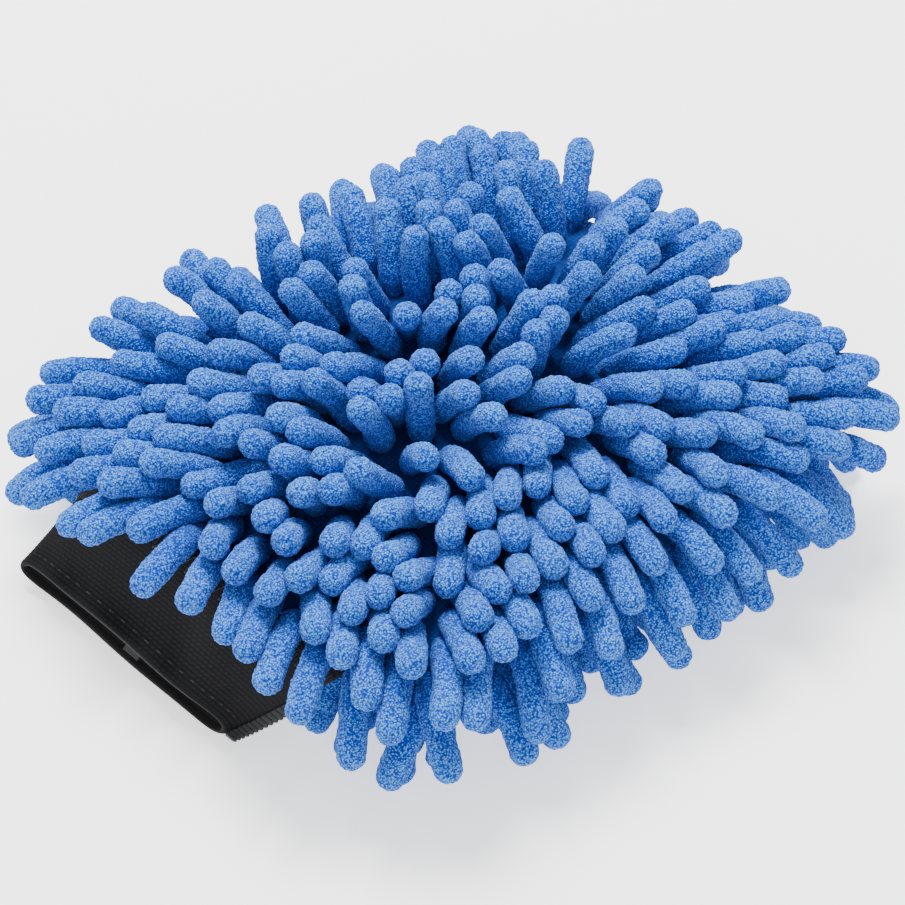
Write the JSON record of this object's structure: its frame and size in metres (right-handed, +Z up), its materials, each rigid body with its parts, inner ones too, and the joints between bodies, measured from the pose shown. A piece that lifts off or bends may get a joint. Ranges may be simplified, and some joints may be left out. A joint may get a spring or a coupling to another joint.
{
  "type": "wash mitt",
  "caption": "Blue chenille microfibre car wash mitt lying flat, tufted with soft noodles on both sides, with a black ribbed elastic cuff.",
  "frame": {"origin": "under the middle of the whole mitt, on the surface it lies on", "axes": "+X across the hand, +Y from the cuff's mouth to the fingertips, +Z up"},
  "size_m": [0.2169, 0.225, 0.0737],
  "materials": {
    "chenille": "soft chenille pile, matte with a light sheen",
    "ground_cloth": "plain microfibre knit",
    "rib_knit": "ribbed polyester knit, matte",
    "elastic": "covered rubber strand",
    "black_thread": "overlock thread",
    "label_satin": "woven satin, slightly shiny"
  },
  "bodies": {
    "palm": {"lower_cloth": "ground_cloth", "rim_seam": "ground_cloth", "cuff_lower": "rib_knit", "elastic_lower": "elastic", "cuff_join_lower": "black_thread", "cuff_side_seam": "black_thread", "cuff_stitch_lower": "black_thread", "lower_row_02": "chenille", "lower_row_03": "chenille", "lower_row_04": "chenille", "lower_row_05": "chenille", "lower_row_06": "chenille", "lower_row_07": "chenille", "lower_row_08": "chenille", "lower_row_09": "chenille", "lower_row_10": "chenille", "lower_row_11": "chenille", "lower_row_12": "chenille", "lower_row_13": "chenille", "lower_row_14": "chenille", "lower_row_15": "chenille", "lower_row_16": "chenille", "lower_row_17": "chenille", "lower_row_18": "chenille", "lower_row_19": "chenille"},
    "back": {"upper_cloth": "ground_cloth", "cuff_upper": "rib_knit", "elastic_upper": "elastic", "cuff_join_upper": "black_thread", "cuff_stitch_upper": "black_thread", "upper_row_01": "chenille", "upper_row_02": "chenille", "upper_row_03": "chenille", "upper_row_04": "chenille", "upper_row_05": "chenille", "upper_row_06": "chenille", "upper_row_07": "chenille", "upper_row_08": "chenille", "upper_row_09": "chenille", "upper_row_10": "chenille", "upper_row_11": "chenille", "upper_row_12": "chenille", "upper_row_13": "chenille", "upper_row_14": "chenille", "upper_row_15": "chenille", "upper_row_16": "chenille", "upper_row_17": "chenille", "upper_row_18": "chenille", "upper_row_19": "chenille"},
    "label": {"care_label": "label_satin"}
  },
  "joints": [
    {"name": "mouth_open", "type": "hinge", "parent": "palm", "child": "back", "pos_m": [0, 0.0865, 0.03229], "axis": [-1, 0, 0], "range_deg": [0, 12]},
    {"name": "label_flip", "type": "hinge", "parent": "palm", "child": "label", "pos_m": [-0.0258, -0.1015, 0.01187], "axis": [-1, 0, 0], "range_deg": [0, 25]}
  ]
}
